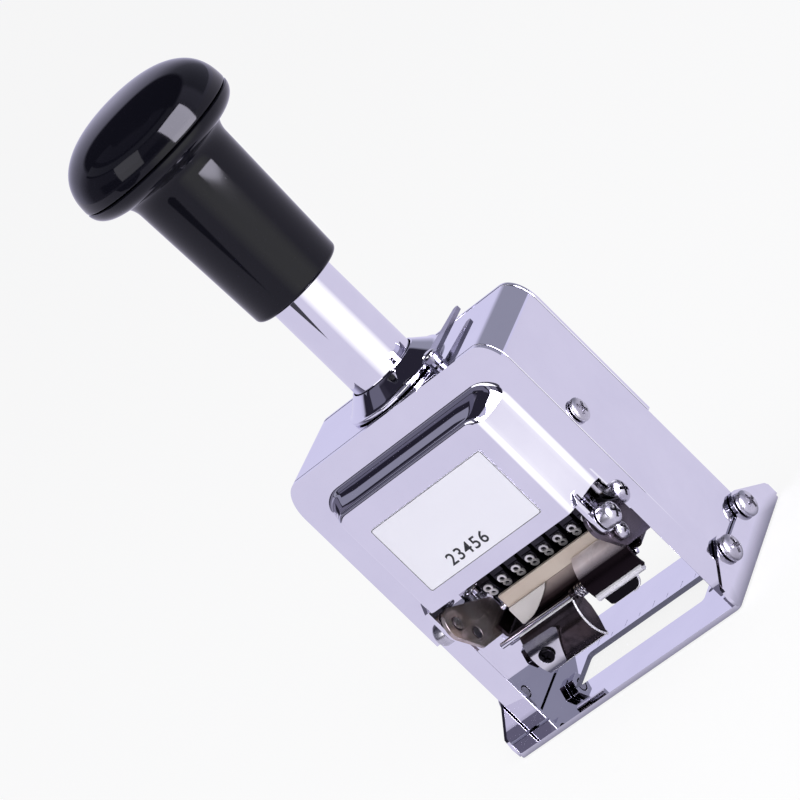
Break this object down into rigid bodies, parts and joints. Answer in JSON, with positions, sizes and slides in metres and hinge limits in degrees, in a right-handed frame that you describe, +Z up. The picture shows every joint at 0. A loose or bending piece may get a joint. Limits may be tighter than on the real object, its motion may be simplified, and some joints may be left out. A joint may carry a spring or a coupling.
{
  "type": "numbering machine",
  "caption": "Hand numbering machine: a chromed case on a window foot, with a sprung plunger, number wheels and a swinging ink pad.",
  "frame": {"origin": "on the table under the middle of the foot, with the plunger's axis at X 0, Y 0", "axes": "+Z up along the plunger's axis, +X to the right seen from the front, -Y towards the front"},
  "size_m": [0.07, 0.0452, 0.1618],
  "materials": {
    "chrome": "polished nickel-chrome plate",
    "steel": "plain steel",
    "dark_steel": "blackened steel",
    "wheel_steel": "inked steel",
    "bronze": "reddish bronze, worn",
    "dark_bronze": "dark, inked bronze",
    "brass": "spring brass",
    "cream": "cream moulding",
    "felt": "inked felt",
    "label": "satin label with a dark border",
    "gloss_black": "gloss black"
  },
  "bodies": {
    "case": {"foot_plate": "chrome", "case_shell": "chrome", "front_cover": "chrome", "back_cover": "chrome", "collar": "chrome", "foot_screw_left_front": "chrome", "foot_screw_left_back": "chrome", "foot_screw_right_front": "chrome", "foot_screw_right_back": "chrome", "foot_nut_left_front": "chrome", "foot_nut_left_back": "chrome", "foot_nut_right_front": "chrome", "foot_nut_right_back": "chrome", "side_screw_left": "chrome", "side_screw_right": "chrome", "back_screw_left": "chrome", "back_screw_right": "chrome", "pivot_screw_left": "chrome", "pivot_screw_right": "chrome", "lever_rivet": "steel", "spring_seat_left": "steel", "spring_seat_right": "steel", "guide_rod_left": "steel", "guide_rod_right": "steel", "main_spring_left": "steel", "main_spring_right": "steel", "label_plate": "label"},
    "plunger": {"knob_cap": "gloss_black", "handle_neck": "gloss_black", "stem": "chrome", "crosshead": "steel", "wheel_plate_left": "steel", "wheel_plate_right": "steel", "wheel_shaft": "steel", "detent_comb": "brass"},
    "pad_bracket": {"pad_arm_left": "bronze", "pad_arm_right": "bronze", "arm_screw_left": "dark_steel", "arm_screw_right": "dark_steel", "pad_tray": "dark_bronze", "pad_frame": "cream", "ink_felt": "felt", "frame_tongue": "cream", "tray_hood": "bronze", "latch_pin": "steel", "tray_grip": "bronze", "grip_plate": "steel", "grip_screw": "steel", "release_tab": "dark_steel", "latch_spring": "steel"},
    "pawls": {"pawl_carrier": "steel"},
    "lock": {"lock_lever": "steel"},
    "wheel_1": {"number_wheel_1": "wheel_steel"},
    "wheel_2": {"number_wheel_2": "wheel_steel"},
    "wheel_3": {"number_wheel_3": "wheel_steel"},
    "wheel_4": {"number_wheel_4": "wheel_steel"},
    "wheel_5": {"number_wheel_5": "wheel_steel"},
    "wheel_6": {"number_wheel_6": "wheel_steel"},
    "wheel_7": {"number_wheel_7": "wheel_steel"},
    "wheel_8": {"number_wheel_8": "wheel_steel"}
  },
  "joints": [
    {"name": "press", "type": "slide", "parent": "case", "child": "plunger", "axis": [0, 0, -1], "range_m": [0, 0.024], "stiffness_N_per_m": 600, "springref_m": -0.01, "deforming": ["main_spring_left", "main_spring_right"]},
    {"name": "pad_swing", "type": "hinge", "parent": "case", "child": "pad_bracket", "pos_m": [0, -0.0183, 0.0323], "axis": [-1, 0, 0], "range_deg": [0, 105]},
    {"name": "pawl_rock", "type": "hinge", "parent": "plunger", "child": "pawls", "pos_m": [0, 0, 0.0338], "axis": [-1, 0, 0], "range_deg": [0, 30]},
    {"name": "lock_turn", "type": "hinge", "parent": "case", "child": "lock", "pos_m": [0.0152, -0.0078, 0.0772], "axis": [0, 0, 1], "range_deg": [0, 14]},
    {"name": "wheel_turn_1", "type": "hinge", "parent": "plunger", "child": "wheel_1", "pos_m": [0, 0, 0.0338], "axis": [-1, 0, 0], "continuous": true},
    {"name": "wheel_turn_2", "type": "hinge", "parent": "plunger", "child": "wheel_2", "pos_m": [0, 0, 0.0338], "axis": [-1, 0, 0], "continuous": true},
    {"name": "wheel_turn_3", "type": "hinge", "parent": "plunger", "child": "wheel_3", "pos_m": [0, 0, 0.0338], "axis": [-1, 0, 0], "continuous": true},
    {"name": "wheel_turn_4", "type": "hinge", "parent": "plunger", "child": "wheel_4", "pos_m": [0, 0, 0.0338], "axis": [-1, 0, 0], "continuous": true},
    {"name": "wheel_turn_5", "type": "hinge", "parent": "plunger", "child": "wheel_5", "pos_m": [0, 0, 0.0338], "axis": [-1, 0, 0], "continuous": true},
    {"name": "wheel_turn_6", "type": "hinge", "parent": "plunger", "child": "wheel_6", "pos_m": [0, 0, 0.0338], "axis": [-1, 0, 0], "continuous": true},
    {"name": "wheel_turn_7", "type": "hinge", "parent": "plunger", "child": "wheel_7", "pos_m": [0, 0, 0.0338], "axis": [-1, 0, 0], "continuous": true},
    {"name": "wheel_turn_8", "type": "hinge", "parent": "plunger", "child": "wheel_8", "pos_m": [0, 0, 0.0338], "axis": [-1, 0, 0], "continuous": true}
  ],
  "couplings": [
    {"joint": "pad_swing", "follows": "press", "rad_per_m": 76.358},
    {"joint": "pawl_rock", "follows": "press", "rad_per_m": 21.817}
  ]
}
